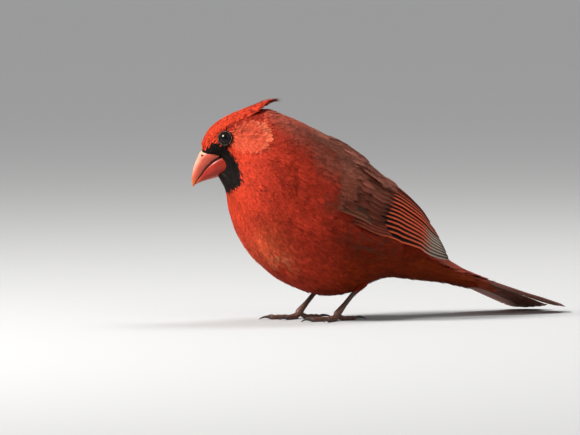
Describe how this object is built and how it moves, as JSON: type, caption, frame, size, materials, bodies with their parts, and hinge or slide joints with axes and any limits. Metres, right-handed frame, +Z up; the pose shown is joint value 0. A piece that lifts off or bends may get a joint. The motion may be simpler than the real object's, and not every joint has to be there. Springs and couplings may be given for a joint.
{
  "type": "northern cardinal",
  "caption": "Life-size male northern cardinal, a crested red songbird standing still with folded wings, its head turned to its right and its tail resting on the floor.",
  "frame": {"origin": "on the floor, under the middle of the bird's bounding box", "axes": "+X from bill to tail, so the bird faces -X; +Y to the bird's right; +Z up"},
  "size_m": [0.2086, 0.0636, 0.1155],
  "materials": {
    "plumage": "soft red feathers, matt",
    "plumage_wing": "grey-brown and red flight feathers, matt",
    "plumage_tail": "brownish red tail feathers, matt",
    "bill": "coral-orange horn, satin",
    "eye": "dark and wet, glossy",
    "leg_scales": "dark reddish scales, satin",
    "claw": "dark horn, satin"
  },
  "bodies": {
    "root": {"bill_lower": "bill", "bill_upper": "bill", "claw_left_hind": "claw", "claw_left_inner": "claw", "claw_left_middle": "claw", "claw_left_outer": "claw", "claw_right_hind": "claw", "claw_right_inner": "claw", "claw_right_middle": "claw", "claw_right_outer": "claw", "crest": "plumage", "eye_left": "eye", "eye_right": "eye", "foot_left": "leg_scales", "foot_right": "leg_scales", "head": "plumage", "leg_left": "leg_scales", "leg_right": "leg_scales", "neck": "plumage", "tail": "plumage_tail", "torso": "plumage", "wing_left": "plumage_wing", "wing_right": "plumage_wing"}
  },
  "joints": []
}
